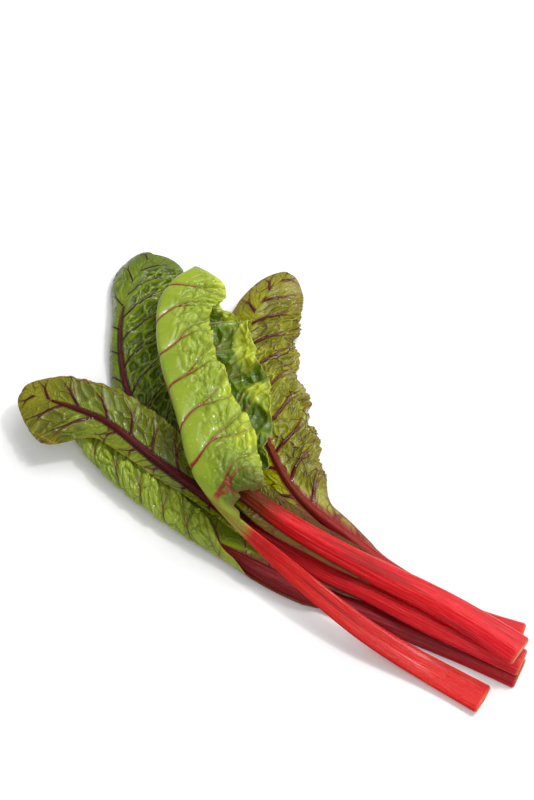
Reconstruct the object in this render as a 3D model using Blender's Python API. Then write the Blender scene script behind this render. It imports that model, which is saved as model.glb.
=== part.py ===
"""Swiss chard bunch: five red-stalked leaves lying together on a flat surface.

Each leaf is two pieces that fit together: a red stalk, which is the petiole and the
midrib in one, and a green blade with a slot that the midrib fills. A leaf follows a
route. Its blade leaves the route to the left and to the right of it, at angles and
half widths that are given at a few stations along the blade.
All sizes are in millimetres, and the objects are made in metres.
The bunch lies along X, with its cut stalk ends at +X and its leaf tips at -X.
"""
import math
from dataclasses import dataclass

import bpy
import numpy as np

MM = 0.001

# Sheet and joint sizes
BLADE_THICKNESS = 0.8
SLOT_GAP = 0.35
SLIMMEST_WING = 2.0
FLOOR_LEVEL = 0.4
FLOOR_SOFTNESS = 4.0

# Mesh counts
ROUTE_SAMPLES = 900
ANGLE_STEPS = 16
TIP_ROWS = 7
PETIOLE_RINGS = 9
STALK_SIDES = 10
SMOOTH_ANGLE = math.radians(50)

# Stalk section: how the height is shared out above and below its middle
UPPER_SHARE = 0.25
LOWER_SHARE = 0.75
CHANNEL_DEPTH = 0.48
RIB_DEPTH = 0.07
RIB_COUNT = 5
STALK_TIP_WIDTH = 1.8
STALK_TIP_HEIGHT = 1.6
MIDRIB_TAPER = 0.75
MIDRIB_TAPER_POWER = 0.9
RIB_TIP_SHARE = 0.985
TIP_FAN_POWER = 0.7

# Where a blade has relief: it grows with the half width, away from the rib and the tip
RELIEF_STARTS_AT = 24.0
RELIEF_FULL_OVER = 34.0
RELIEF_BESIDE_RIB = 10.0
RELIEF_TIP_FADE = 0.12
RELIEF_AT_TIP = 0.15

# Pillows between the side veins
VEIN_BEND = 0.0012
PILLOW_ROUNDNESS = 0.8
PILLOW_MIDDLE = 0.55
PILLOW_LOSS_AT_MARGIN = 0.6
PILLOW_LOSS_POWER = 5

# Waves of the margin: how they lean, wander and grow toward it
WAVE_LEAN = 0.25
WAVE_HALF_SHIFT = 1.7
WAVE_WANDER = 1.3
WAVE_WANDER_LENGTH = 37.0
WAVE_GROWTH_POWER = 2.6
WAVE_LAST_SHARE = 1.2

STALK_ROUGHNESS = 0.35
BLADE_ROUGHNESS = 0.4

# Moves the box of the finished bunch to the origin
CENTRE_SHIFT = (1.53, 1.74, 0.0)


@dataclass
class LeafShape:
    """The numbers that make one leaf.

    route holds x, y, z and the turn about the route in degrees.
    stations holds the place along the blade from 0 to 1, then for the left and for the
    right half its width and its angles at the four places in bends, from rib to margin.
    """
    name: str
    route: tuple
    blade_starts_at: int
    stations: tuple
    petiole: tuple
    midrib: tuple
    midrib_from: float
    narrowing: float
    vein_spacing: float
    vein_phase: float
    vein_slope: tuple = (1.0, -0.5)
    sweep: tuple = (-0.25, 0.45)
    bends: tuple = (0.0, 0.3, 0.65, 1.0)
    pillow: float = 2.0
    wave: tuple = (4.0, 42.0)
    wave_seed: float = 1.0
    tip_bluntness: float = 5.0
    midrib_ends_at: float = 0.93
    rows: tuple = (6, 22)
    columns: int = 7
    stalk_colour: tuple = (225, 50, 45)
    blade_colour: tuple = (120, 150, 60)


# Upper side out and folded lengthwise: its left half is tucked under its right half
FRONT = LeafShape(
    name="front",
    route=(
        (249, 20, 5, 0), (211, 4, 6, -2), (158, -20, 16, -6), (88, -41, 30, -26),
        (33, -55, 41, -74), (-6, -61, 47, -105), (-41, -54, 50, -98), (-79, -39, 50, -88),
        (-126, -22, 50, -84), (-160, -3, 47, -84), (-181, 14, 44, -82),
        (-194, 36, 41, -78), (-199, 62, 38, -70)),
    blade_starts_at=4,
    stations=(
        (0.00, (7, 0, 0, 0, 0), (8, 0, -20, -40, -50)),
        (0.07, (10, 0, -30, -40, -50), (14, 20, -60, -80, -90)),
        (0.14, (16, -10, -55, -75, -85), (29, 42, -72, -92, -104)),
        (0.21, (42, -20, -88, -98, -108), (60, 42, -78, -99, -112)),
        (0.32, (70, -20, -88, -98, -115), (68, 45, -80, -95, -106)),
        (0.55, (92, -10, -88, -97, -122), (57, 50, -78, -88, -98)),
        (0.75, (86, -10, -88, -97, -120), (52, 50, -78, -88, -98)),
        (0.90, (64, -10, -80, -92, -110), (55, 35, -70, -85, -98)),
        (1.00, (44, 0, -60, -70, -80), (50, 20, -55, -70, -80))),
    petiole=(25, 9),
    midrib=(8, 6),
    midrib_from=0.36,
    narrowing=1.2,
    vein_spacing=38,
    vein_phase=0.1,
    vein_slope=(1.6, -1.1),
    sweep=(-1.0, 0.35),
    bends=(0.0, 0.15, 0.55, 1.0),
    wave=(4.5, 40),
    tip_bluntness=12.0,
    rows=(4, 24),
    columns=9,
    stalk_colour=(225, 50, 45),
    blade_colour=(150, 190, 65))

# Underside up, with its margins on the ground at the right of the bunch
RIGHT = LeafShape(
    name="right",
    route=(
        (225, 80, 1.2, 180), (182, 54, 1.2, 180), (144, 39, 2.5, 180), (109, 28, 5, 180),
        (78, 20, 8, 180), (47, 12, 11, 178), (17, 9, 13, 175), (-21, 15, 15, 172),
        (-59, 27, 17, 170), (-96, 45, 18, 170), (-127, 69, 19, 172), (-148, 99, 19, 175),
        (-158, 134, 16, 180)),
    blade_starts_at=3,
    stations=(
        (0.00, (8, 0, 0, 0, 0), (8, 0, 0, 0, 0)),
        (0.18, (14, 0, 0, 10, 10), (10, 0, 0, 0, 0)),
        (0.32, (37, 0, 10, 30, 50), (22, 5, 10, 20, 20)),
        (0.46, (53, 0, 15, 40, 75), (26, 5, 10, 20, 20)),
        (0.80, (46, -5, 15, 35, 65), (24, 5, 10, 20, 20)),
        (0.92, (38, -5, 10, 20, 30), (22, 5, 10, 20, 20)),
        (1.00, (28, 0, 0, 10, 20), (18, 5, 10, 20, 20))),
    petiole=(23, 10),
    midrib=(8, 6),
    midrib_from=0.3,
    narrowing=1.3,
    vein_spacing=27,
    vein_phase=0.3,
    wave_seed=2.0,
    midrib_ends_at=0.66,
    rows=(5, 23),
    stalk_colour=(205, 40, 50),
    blade_colour=(125, 125, 50))

# Underside up, reaching out to the far left of the bunch
LEFT = LeafShape(
    name="left",
    route=(
        (246, 60, 15, 180), (200, 36, 15, 180), (163, 18, 14, 180), (126, 2, 12, 180),
        (89, -16, 10, 180), (59, -26, 10, 180), (19, -42, 13, 180), (-25, -57, 21, 178),
        (-71, -72, 27, 175), (-119, -85, 31, 175), (-150, -103, 32, 175),
        (-185, -124, 28, 178)),
    blade_starts_at=3,
    stations=(
        (0.00, (10, 0, 0, 0, 0), (11, 0, 0, 0, 0)),
        (0.45, (9, 0, 0, 0, 0), (10, 0, 0, 0, 0)),
        (0.61, (32, -12, -12, 0, 12), (12, 10, 15, 10, 0)),
        (0.74, (31, -12, -8, 5, 16), (16, 0, 8, 12, 10)),
        (0.86, (31, -12, -8, 5, 16), (42, 0, 5, 10, 20)),
        (1.00, (24, -5, 0, 10, 10), (28, 0, 10, 20, 20))),
    petiole=(24, 9),
    midrib=(12, 8),
    midrib_from=0.4,
    narrowing=0.9,
    vein_spacing=26,
    vein_phase=0.0,
    wave_seed=3.0,
    stalk_colour=(130, 25, 42),
    blade_colour=(110, 130, 50))

# Underside up, behind the others, with the widest stalk
BACK = LeafShape(
    name="back",
    route=(
        (241, 61, 25, 180), (180, 40, 25, 180), (121, 14, 24, 180), (75, -5, 22, 180),
        (28, -20, 20, 180), (-24, -33, 16, 180), (-74, -49, 10, 180), (-115, -54, 8, 178),
        (-144, -47, 11, 176), (-174, -33, 15, 174), (-204, -12, 18, 172),
        (-228, 15, 18, 176), (-247, 50, 14, 180)),
    blade_starts_at=2,
    stations=(
        (0.00, (13, -10, -10, -10, -10), (12, -10, -10, -10, -10)),
        (0.12, (14, -10, -10, -10, -10), (15, -10, -15, -25, -40)),
        (0.22, (16, -10, -10, -10, -10), (20, -10, -20, -35, -60)),
        (0.36, (19, -5, -5, 0, 0), (9, -5, 0, 0, 0)),
        (0.58, (44, -10, 0, 5, 0), (20, 10, 30, 60, 80)),
        (0.80, (54, -15, -5, 5, 10), (20, 10, 40, 80, 110)),
        (0.92, (48, -15, -5, 5, 20), (28, 0, 10, 30, 50)),
        (1.00, (44, -5, 0, 5, 10), (24, 0, 5, 20, 40))),
    petiole=(27, 11),
    midrib=(9, 7),
    midrib_from=0.5,
    narrowing=0.65,
    vein_spacing=26,
    vein_phase=0.6,
    wave_seed=4.0,
    tip_bluntness=8.0,
    midrib_ends_at=0.86,
    stalk_colour=(220, 40, 55),
    blade_colour=(75, 105, 42))

# Lowest at the left: its right half is rolled over with the upper side out
LOW = LeafShape(
    name="low",
    route=(
        (248, 58, 1, 180), (209, 37, 1, 180), (178, 19, 1, 180), (146, -1, 3, 180),
        (106, -28, 4, 180), (73, -48, 5, 180), (34, -65, 5, 185), (-6, -81, 5, 190),
        (-42, -91, 5, 190), (-78, -100, 6, 190), (-109, -105, 7, 190),
        (-138, -107, 8, 188)),
    blade_starts_at=4,
    stations=(
        (0.00, (14, 0, 0, 0, 0), (8, 0, 0, 0, 0)),
        (0.17, (22, 0, 0, 0, 0), (9, 0, -20, -30, -30)),
        (0.31, (28, 5, 5, 0, 0), (18, 0, -60, -110, -140)),
        (0.48, (30, 10, 5, 0, 0), (38, 0, -80, -165, -185)),
        (0.65, (28, 10, 5, 0, 0), (47, 0, -80, -168, -188)),
        (0.85, (26, 10, 5, 0, 0), (44, 0, -80, -168, -188)),
        (1.00, (20, 5, 0, 0, 0), (26, -10, -60, -110, -150))),
    petiole=(27, 9),
    midrib=(9, 5),
    midrib_from=0.4,
    narrowing=0.6,
    vein_spacing=26,
    vein_phase=0.4,
    wave=(2.5, 42),
    wave_seed=5.0,
    bends=(0.0, 0.15, 0.55, 1.0),
    rows=(5, 20),
    stalk_colour=(140, 28, 42),
    blade_colour=(100, 140, 55))

LEAVES = (FRONT, RIGHT, LEFT, BACK, LOW)


def natural_spline(knots, values, places):
    """A smooth curve through the values, read at the places."""
    count = len(knots)
    gaps = np.diff(knots)
    matrix = np.eye(count)
    right_side = np.zeros(values.shape)
    for i in range(1, count - 1):
        matrix[i, i - 1:i + 2] = gaps[i - 1], 2 * (gaps[i - 1] + gaps[i]), gaps[i]
        rise_after = (values[i + 1] - values[i]) / gaps[i]
        rise_before = (values[i] - values[i - 1]) / gaps[i - 1]
        right_side[i] = 6 * (rise_after - rise_before)
    second = np.linalg.solve(matrix, right_side)
    k = np.clip(np.searchsorted(knots, places) - 1, 0, count - 2)
    gap = gaps[k][:, None]
    before = (knots[k + 1] - places)[:, None] / gap
    after = (places - knots[k])[:, None] / gap
    straight = before * values[k] + after * values[k + 1]
    bend = (before ** 3 - before) * second[k] + (after ** 3 - after) * second[k + 1]
    return straight + bend * gap ** 2 / 6


def eased(knots, values, places):
    """Values that pass from knot to knot with a smooth start and end."""
    k = np.clip(np.searchsorted(knots, places) - 1, 0, len(knots) - 2)
    x = np.clip((places - knots[k]) / (knots[k + 1] - knots[k]), 0, 1)
    x = x * x * (3 - 2 * x)
    return values[k] + (values[k + 1] - values[k]) * x


def running_length(points):
    """The distance from the first point to each point, along the line through them."""
    steps = np.linalg.norm(np.diff(points, axis=0), axis=1)
    return np.concatenate([[0.0], np.cumsum(steps)])


def unit(vectors):
    return vectors / np.linalg.norm(vectors, axis=1)[:, None]


class Leaf:
    """One leaf's route and the surface of its blade.

    A place on the leaf is (along, across): the distance along the route from the cut
    end, and the distance over the blade from the route, negative on the left half.
    """

    def __init__(self, shape):
        self.shape = shape
        points = np.array(shape.route, float)
        knots = running_length(points[:, :3])
        spread = np.linspace(0, knots[-1], ROUTE_SAMPLES)
        curve = natural_spline(knots, points, spread)
        distance = running_length(curve[:, :3])
        self.length = distance[-1]
        self.samples = np.linspace(0, self.length, ROUTE_SAMPLES)
        self.blade_start = np.interp(knots[shape.blade_starts_at], spread, distance)
        even = [np.interp(self.samples, distance, curve[:, i]) for i in range(4)]
        self.points = np.stack(even[:3], 1)
        self.set_directions(np.radians(even[3])[:, None])
        self.station_places = np.array([s[0] for s in shape.stations])
        self.left = np.array([s[1] for s in shape.stations], float)
        self.right = np.array([s[2] for s in shape.stations], float)
        self.bends = np.array(shape.bends)

    def set_directions(self, turn):
        """Forward along the route, sideways to the right half, and out of the upper side."""
        self.forward = unit(np.gradient(self.points, self.samples, axis=0))
        up = np.array([0.0, 0.0, 1.0])
        level_out = unit(up - (self.forward @ up)[:, None] * self.forward)
        level_side = np.cross(self.forward, level_out)
        self.out = level_out * np.cos(turn) + level_side * np.sin(turn)
        self.side = level_side * np.cos(turn) - level_out * np.sin(turn)

    def at(self, along):
        """Point, forward, side and out directions at distances along the route."""
        fields = (self.points, self.forward, self.side, self.out)
        return [
            np.stack([np.interp(along, self.samples, field[:, i]) for i in range(3)], -1)
            for field in fields]

    def blade_place(self, along):
        return (along - self.blade_start) / (self.length - self.blade_start)

    def half_width(self, place, half):
        """Half width of the blade, with its rounded tip."""
        place = np.clip(place, 0, 1)
        rounding = np.sqrt(np.clip(1 - place ** (2 * self.shape.tip_bluntness), 0, 1))
        return eased(self.station_places, half[:, 0], place) * rounding

    def stalk_size(self, along):
        """Width and height of the stalk, from the cut end to the midrib's tip."""
        place = np.clip(self.blade_place(along), 0, 1)
        blade_length = self.length - self.blade_start
        midrib_from = self.blade_start + self.shape.midrib_from * blade_length
        petiole_share = np.clip(1 - along / midrib_from, 0, 1)
        width, height = self.shape.midrib
        width = width + (self.shape.petiole[0] - width) * petiole_share ** self.shape.narrowing
        height = height + (self.shape.petiole[1] - height) * petiole_share
        taper = np.clip((1 - place / self.shape.midrib_ends_at) / MIDRIB_TAPER, 0, 1)
        taper = taper ** MIDRIB_TAPER_POWER
        return (STALK_TIP_WIDTH + (width - STALK_TIP_WIDTH) * taper,
                STALK_TIP_HEIGHT + (height - STALK_TIP_HEIGHT) * taper)

    def slot_edge(self, along):
        return self.stalk_size(along)[0] / 2 + SLOT_GAP

    def relief(self, along, across, share, from_slot):
        """Height of the pillows between the side veins, and of the waved margin."""
        shape = self.shape
        reach = np.abs(across)
        right_half = across > 0
        slope = shape.vein_slope[0] + shape.vein_slope[1] * np.clip(self.blade_place(along), 0, 1)
        vein = along - self.blade_start - slope * reach + VEIN_BEND * reach ** 2
        vein = vein / shape.vein_spacing + shape.vein_phase + 0.5 * right_half
        pillow = np.abs(np.sin(np.pi * vein)) ** PILLOW_ROUNDNESS - PILLOW_MIDDLE
        inside = 1 - PILLOW_LOSS_AT_MARGIN * np.clip(share, 0, 1) ** PILLOW_LOSS_POWER
        inside = inside * np.clip(from_slot / RELIEF_BESIDE_RIB, 0, 1)
        height, length = shape.wave
        wander = WAVE_WANDER * np.sin(along / WAVE_WANDER_LENGTH + shape.wave_seed)
        phase = 2 * np.pi * ((along + WAVE_LEAN * reach) / length + shape.vein_phase)
        phase = phase + WAVE_HALF_SHIFT * right_half + wander
        wave = height * np.clip(share, 0, WAVE_LAST_SHARE) ** WAVE_GROWTH_POWER * np.sin(phase)
        return shape.pillow * pillow * inside + wave

    def surface(self, along, across):
        """Points in the middle of the blade's thickness."""
        form = along.shape
        along = along.ravel()
        across = across.ravel()
        place = np.clip(self.blade_place(along), 0, 1)
        is_left = across < 0
        width = np.where(is_left, self.half_width(place, self.left),
                         self.half_width(place, self.right))
        corner_angles = np.radians([
            np.where(is_left, eased(self.station_places, self.left[:, i], place),
                     eased(self.station_places, self.right[:, i], place))
            for i in range(1, 5)])
        rows = np.arange(len(along))

        def angle_at(share):
            share = np.clip(share, 0, 1)
            k = np.clip(np.searchsorted(self.bends, share, side="right") - 1, 0, 2)
            x = (share - self.bends[k]) / (self.bends[k + 1] - self.bends[k])
            return corner_angles[k, rows] * (1 - x) + corner_angles[k + 1, rows] * x

        edge = self.slot_edge(along)
        from_slot = np.maximum(np.abs(across) - edge, 0)
        share = from_slot / np.maximum(width - edge, SLIMMEST_WING)
        outward = np.zeros_like(share)
        upward = np.zeros_like(share)
        for step in range(ANGLE_STEPS):
            angle = angle_at(share * (step + 0.5) / ANGLE_STEPS)
            outward += np.cos(angle)
            upward += np.sin(angle)
        outward = outward * from_slot / ANGLE_STEPS + np.minimum(np.abs(across), edge)
        upward = upward * from_slot / ANGLE_STEPS
        hand = np.where(is_left, -1.0, 1.0)
        point, forward, side, out = self.at(along)
        start, end = self.shape.sweep
        sweep = start + (end - start) * place
        point = point + side * (outward * hand)[:, None] + out * upward[:, None]
        point = point + forward * (sweep * from_slot)[:, None]
        angle = angle_at(share)
        normal = out * np.cos(angle)[:, None] - side * (np.sin(angle) * hand)[:, None]
        grown = np.clip((width - RELIEF_STARTS_AT) / RELIEF_FULL_OVER, 0, 1)
        grown = grown * np.clip((1 - place) / RELIEF_TIP_FADE, RELIEF_AT_TIP, 1)
        height = self.relief(along, across, share, from_slot) * grown
        point = point + normal * height[:, None]
        return lifted_off_floor(point).reshape(form + (3,))

    def row_places(self):
        """Places along the blade where both its rows and the midrib's rings lie."""
        base_rows, blade_rows = self.shape.rows
        base_end = self.station_places[1]
        base = np.linspace(0, base_end, base_rows + 1)[:-1]
        rest = np.linspace(base_end, self.midrib_end_place(), blade_rows)
        return np.concatenate([base, rest])

    def midrib_end_place(self):
        return self.shape.midrib_ends_at * RIB_TIP_SHARE


def lifted_off_floor(point):
    """Points near the ground or under it are eased up, so that the blade lies on it."""
    height = point[:, 2]
    depth = np.minimum((height - FLOOR_LEVEL) / FLOOR_SOFTNESS - 1, 0)
    eased_height = FLOOR_LEVEL + FLOOR_SOFTNESS * np.exp(depth)
    point[:, 2] = np.where(height < FLOOR_LEVEL + FLOOR_SOFTNESS, eased_height, height)
    return point


def blade_grid(leaf):
    """Places of a blade's grid: up the left half, round the midrib's tip, down the right.

    The first index runs along that way, and the second from the slot to the margin.
    """
    columns = leaf.shape.columns
    steps = np.arange(columns + 1) / columns
    span = leaf.length - leaf.blade_start

    def half_rows(half, hand):
        rows = []
        for place in leaf.row_places():
            along = leaf.blade_start + place * span
            inner = leaf.slot_edge(along)
            outer = max(leaf.half_width(place, half), inner + SLIMMEST_WING)
            across = hand * (inner + (outer - inner) * steps)
            rows.append(np.stack([np.full(columns + 1, along), across], -1))
        return rows

    def tip_rows():
        rows = []
        end_place = leaf.midrib_end_place()
        end_along = leaf.blade_start + end_place * span
        radius = leaf.slot_edge(end_along)
        for k in range(1, TIP_ROWS + 1):
            turn = math.pi * k / (TIP_ROWS + 1)
            inner = np.array([end_along + radius * math.sin(turn), -radius * math.cos(turn)])
            if 2 * k == TIP_ROWS + 1:
                outer = np.array([leaf.length, 0.0])
            else:
                place = end_place + (1 - end_place) * math.sin(turn) ** TIP_FAN_POWER
                half = leaf.left if k <= TIP_ROWS / 2 else leaf.right
                hand = -1 if k <= TIP_ROWS / 2 else 1
                outer = np.array([leaf.blade_start + place * span,
                                  hand * leaf.half_width(place, half)])
            rows.append(inner + (outer - inner) * steps[:, None])
        return rows

    left_rows = half_rows(leaf.left, -1)
    right_rows = half_rows(leaf.right, 1)
    return np.array(left_rows + tip_rows() + right_rows[::-1])


def blade_mesh(leaf):
    """Corner points and triangles of a blade: its grid given thickness, alike on both faces."""
    grid = blade_grid(leaf)
    middle = leaf.surface(grid[..., 0], grid[..., 1])
    normal = np.cross(np.gradient(middle, axis=1), np.gradient(middle, axis=0))
    normal = normal / np.linalg.norm(normal, axis=-1)[..., None]
    upper = middle + normal * BLADE_THICKNESS / 2
    lower = middle - normal * BLADE_THICKNESS / 2
    points = np.concatenate([upper.reshape(-1, 3), lower.reshape(-1, 3)])
    points[:, 2] = np.maximum(points[:, 2], 0.0)
    row_count, column_count = middle.shape[:2]
    number = np.arange(row_count * column_count).reshape(row_count, column_count)
    to_lower = row_count * column_count
    faces = []
    for row in range(row_count - 1):
        for column in range(column_count - 1):
            a, b = number[row, column], number[row, column + 1]
            d, c = number[row + 1, column], number[row + 1, column + 1]
            if (row + column) % 2:
                pair = ((a, b, c), (a, c, d))
            else:
                pair = ((a, b, d), (b, c, d))
            for i, j, k in pair:
                faces.append((i, j, k))
                faces.append((i + to_lower, k + to_lower, j + to_lower))
    border = list(number[0]) + list(number[1:, -1])
    border += list(number[-1, -2::-1]) + list(number[-2:0:-1, 0])
    for a, b in zip(border, border[1:] + border[:1]):
        faces.append((a, a + to_lower, b))
        faces.append((b, a + to_lower, b + to_lower))
    return points, faces


def stalk_mesh(leaf):
    """Corner points and faces of a stalk: a ribbed section with a shallow channel."""
    petiole = np.linspace(0, leaf.blade_start, PETIOLE_RINGS + 1)[:-1]
    midrib = leaf.blade_start + leaf.row_places() * (leaf.length - leaf.blade_start)
    along = np.concatenate([petiole, midrib])
    point, _, side, out = leaf.at(along)
    width, height = leaf.stalk_size(along)
    turn = 2 * math.pi * np.arange(STALK_SIDES) / STALK_SIDES
    across = np.cos(turn)
    upper = UPPER_SHARE * np.sin(turn) * (1 - CHANNEL_DEPTH * (1 - np.abs(across)))
    lower = LOWER_SHARE * np.sin(turn) * (1 + RIB_DEPTH * np.cos(RIB_COUNT * turn))
    rise = np.where(np.sin(turn) > 0, upper, lower)
    across = across * width[:, None] / 2
    rise = rise * height[:, None]
    rings = (point[:, None] + side[:, None] * across[..., None]
             + out[:, None] * rise[..., None])
    rings[..., 2] = np.maximum(rings[..., 2], 0.0)
    faces = []
    for ring in range(len(along) - 1):
        for k in range(STALK_SIDES):
            following = (k + 1) % STALK_SIDES
            start = ring * STALK_SIDES
            end = start + STALK_SIDES
            faces.append((start + k, end + k, end + following))
            faces.append((start + k, end + following, start + following))
    last_ring = (len(along) - 1) * STALK_SIDES
    faces.append(tuple(range(STALK_SIDES)))
    faces.append(tuple(last_ring + k for k in reversed(range(STALK_SIDES))))
    return rings.reshape(-1, 3), faces


def linear_colour(colour):
    """An 8-bit display colour as the linear values that a material takes."""
    return tuple((value / 255) ** 2.2 for value in colour) + (1.0,)


def plain_material(name, colour, roughness):
    material = bpy.data.materials.new(name)
    material.use_nodes = True
    shader = material.node_tree.nodes["Principled BSDF"]
    shader.inputs["Base Color"].default_value = linear_colour(colour)
    shader.inputs["Roughness"].default_value = roughness
    shader.inputs["Metallic"].default_value = 0.0
    material.diffuse_color = linear_colour(colour)
    return material


def add_object(name, points, faces, material):
    """One closed body, in metres, with its material."""
    points = (points + np.array(CENTRE_SHIFT)) * MM
    mesh = bpy.data.meshes.new(name)
    mesh.from_pydata(points.tolist(), [], [tuple(int(i) for i in face) for face in faces])
    mesh.materials.append(material)
    mesh.shade_smooth()
    mesh.set_sharp_from_angle(angle=SMOOTH_ANGLE)
    body = bpy.data.objects.new(name, mesh)
    bpy.context.scene.collection.objects.link(body)
    return body


def add_leaf(shape):
    leaf = Leaf(shape)
    stalk_material = plain_material("stalk_" + shape.name, shape.stalk_colour, STALK_ROUGHNESS)
    blade_material = plain_material("blade_" + shape.name, shape.blade_colour, BLADE_ROUGHNESS)
    add_object("stalk_" + shape.name, *stalk_mesh(leaf), stalk_material)
    add_object("blade_" + shape.name, *blade_mesh(leaf), blade_material)


def main():
    for item in list(bpy.data.objects):
        bpy.data.objects.remove(item)
    for shape in LEAVES:
        add_leaf(shape)


main()
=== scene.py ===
"""Swiss chard bunch: detailed leaves and stalks that stand for the plain ones of the frame.

Each leaf follows the same route and stations as its plain solid, with many more points.
Sizes are in millimetres here, and the objects are made in metres.
"""

import math
from dataclasses import dataclass

import bpy
import numpy as np
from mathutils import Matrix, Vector


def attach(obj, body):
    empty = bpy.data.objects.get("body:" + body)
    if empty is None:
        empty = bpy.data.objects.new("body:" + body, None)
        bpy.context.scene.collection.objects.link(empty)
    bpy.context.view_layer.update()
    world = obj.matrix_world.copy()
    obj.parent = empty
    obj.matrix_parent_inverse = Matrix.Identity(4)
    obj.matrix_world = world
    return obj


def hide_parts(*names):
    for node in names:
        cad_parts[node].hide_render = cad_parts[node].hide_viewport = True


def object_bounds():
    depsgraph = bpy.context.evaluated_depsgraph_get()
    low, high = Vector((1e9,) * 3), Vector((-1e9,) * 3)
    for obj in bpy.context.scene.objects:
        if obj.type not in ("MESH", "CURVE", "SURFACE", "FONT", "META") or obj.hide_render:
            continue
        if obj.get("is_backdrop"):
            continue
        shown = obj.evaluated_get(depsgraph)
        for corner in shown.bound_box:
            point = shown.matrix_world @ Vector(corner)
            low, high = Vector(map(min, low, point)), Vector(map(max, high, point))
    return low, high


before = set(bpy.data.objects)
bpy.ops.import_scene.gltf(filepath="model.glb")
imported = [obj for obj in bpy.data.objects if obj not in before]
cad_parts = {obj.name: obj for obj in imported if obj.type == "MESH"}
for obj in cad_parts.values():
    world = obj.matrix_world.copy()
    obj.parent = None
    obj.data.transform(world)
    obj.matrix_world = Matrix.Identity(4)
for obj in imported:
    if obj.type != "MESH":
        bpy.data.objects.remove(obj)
plain_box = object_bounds()

MM = 0.001

# Sheet and joint sizes of the plain solids
SLOT_GAP = 0.35
SLIMMEST_WING = 2.0
WING_TAPER = 0.05
FLOOR_LEVEL = 0.4
FLOOR_SOFTNESS = 4.0
CENTRE_SHIFT = (1.53, 1.74, 0.0)

# Stalk section: how the height is shared out above and below its middle
UPPER_SHARE = 0.25
LOWER_SHARE = 0.75
CHANNEL_DEPTH = 0.48
RIB_DEPTH = 0.07
RIB_COUNT = 5
STALK_TIP_WIDTH = 1.8
STALK_TIP_HEIGHT = 1.6
MIDRIB_TAPER = 0.75
MIDRIB_TAPER_POWER = 0.9
RIB_TIP_SHARE = 0.985

# Relief shared with the plain solids: it grows with the half width, away from rib and tip
RELIEF_STARTS_AT = 24.0
RELIEF_FULL_OVER = 34.0
RELIEF_BESIDE_RIB = 10.0
RELIEF_TIP_FADE = 0.12
RELIEF_AT_TIP = 0.15

# Pillows between the side veins
VEIN_BEND = 0.0012
PILLOW_ROUNDNESS = 0.8
PILLOW_MIDDLE = 0.55
PILLOW_LOSS_AT_MARGIN = 0.6
PILLOW_LOSS_POWER = 5

# Waves of the margin: how they lean, wander and grow toward it
WAVE_LEAN = 0.25
WAVE_HALF_SHIFT = 1.7
WAVE_WANDER = 1.3
WAVE_WANDER_LENGTH = 37.0
WAVE_GROWTH_POWER = 2.6
WAVE_LAST_SHARE = 1.2
ROUTE_SAMPLES = 900
ANGLE_STEPS = 16

# Side veins: small waves in their courses, and how they fork on the way to the margin
VEIN_WOBBLE = 0.07
VEIN_WOBBLE_ALONG = 17.0
VEIN_WOBBLE_ACROSS = 11.0
VEIN_SQUEEZE = 0.75
FORK_STARTS_AT = 0.42
FORK_SPREAD = 0.45
WIDEST_FORK = 0.25

# Sheet of a detailed blade, its rows near the tip and the nicks of its margin
SHEET_THICKNESS = 0.6
SHEET_CELLS = 44500
FINEST_CELL = 0.7
SHEET_CLEARANCE = 0.05
WING_AT_START = 0.1
TIP_ROWS_FROM = 0.85
TIP_ROWS_REACH = 0.985
NICK_LENGTH = 9.0
NICK_DEPTH = 5.0
NICKS_START_AT = 26.0
NICKS_FULL_OVER = 12.0
NICK_SEED_STEP = 5.0

# Finer relief: where it fades, and the sunken veins
FINE_STARTS_AT = 15.0
FINE_FULL_OVER = 30.0
FINE_TIP_FADE = 0.05
FINE_AT_TIP = 0.3
CALM_FADE = 0.35
RIB_FILLET = 7.0
VEIN_DEPTH = 1.1
VEIN_HALF_WIDTH = 1.5
VEIN_LOSS_AT_MARGIN = 0.55
VEIN_SWELLING = 0.5
VEIN_SWELLING_WIDTH = 1.2

# Blisters, puckers and wrinkles are domes over the cells of the net of small veins
BLISTER_ROWS = 2.5
BLISTER_SIZE = 11.0
PUCKER_SIZE = 5.8
WRINKLE_SIZE = 3.0
WRINKLE_HEIGHT = 0.35
CELL_HALF = 0.5
BLISTER_MIDDLE = 0.45
PUCKER_MIDDLE = 0.5
WRINKLE_MIDDLE = 0.5
BLISTER_AT_VEIN = 0.35
BLISTER_CLEAR_OF_VEIN = 4.0
NET_BEND = 1.6
NET_BEND_LENGTH = 16.0
NET_BEND_SHIFT = 7.3
NET_SEED_STEP = 13

# Uneven swelling of the blade, and the ruffles of its margin
CRINKLE_SIZE = 10
RUFFLE_HEIGHT = 5.12
RUFFLE_LENGTH = 7.5
RUFFLE_WIDTH = 16
RUFFLE_FROM = 0.72

# Stalks: their mesh, their lengthwise ridges and the rings of the cut face
RING_STEP = 1.6
STALK_SIDES = 64
GRAIN_ROUND = 5.0
GRAIN_LENGTH = 90
GRAIN_SEED_STEP = 7
FINER_GRAIN = (3, 3, 1.5)
RIDGE_HEIGHT = 0.22
FINE_RIDGE_HEIGHT = 0.08
RIDGES_SIDEWAYS = 0.3
UNEVEN_WIDTH = 0.06
UNEVEN_LENGTH = 60
STREAK_PER_MM = 0.01
CUT_ROUNDING = 1.5
CUT_NARROWING = 0.1
CUT_DEPTH = 0.6
CUT_BEVEL = 0.3
CUT_RINGS = (0.94, 0.8, 0.6, 0.35, 0.12)

# Colours that all leaves share, and the share of its brightness that a colour keeps when darkened:
# in the painted shade of hollows and grooves, and in the darker clouds of a stalk
LIP_COLOUR = (112, 26, 20)
SPECK_COLOUR = (206, 208, 132)
CUT_FLESH = (240, 168, 140)
CUT_PORES = (206, 70, 62)
CUT_RIM = (214, 120, 70)
DARKENED_BRIGHTNESS = 0.62

# Patterns of a blade's look: how many fit in a metre
CLOUDS = 28.0
PATCHES = 45.0
MOTTLES = 150.0
SPECKS = 160.0
BUMPS = 260.0
GRAINS = 900.0

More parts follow.
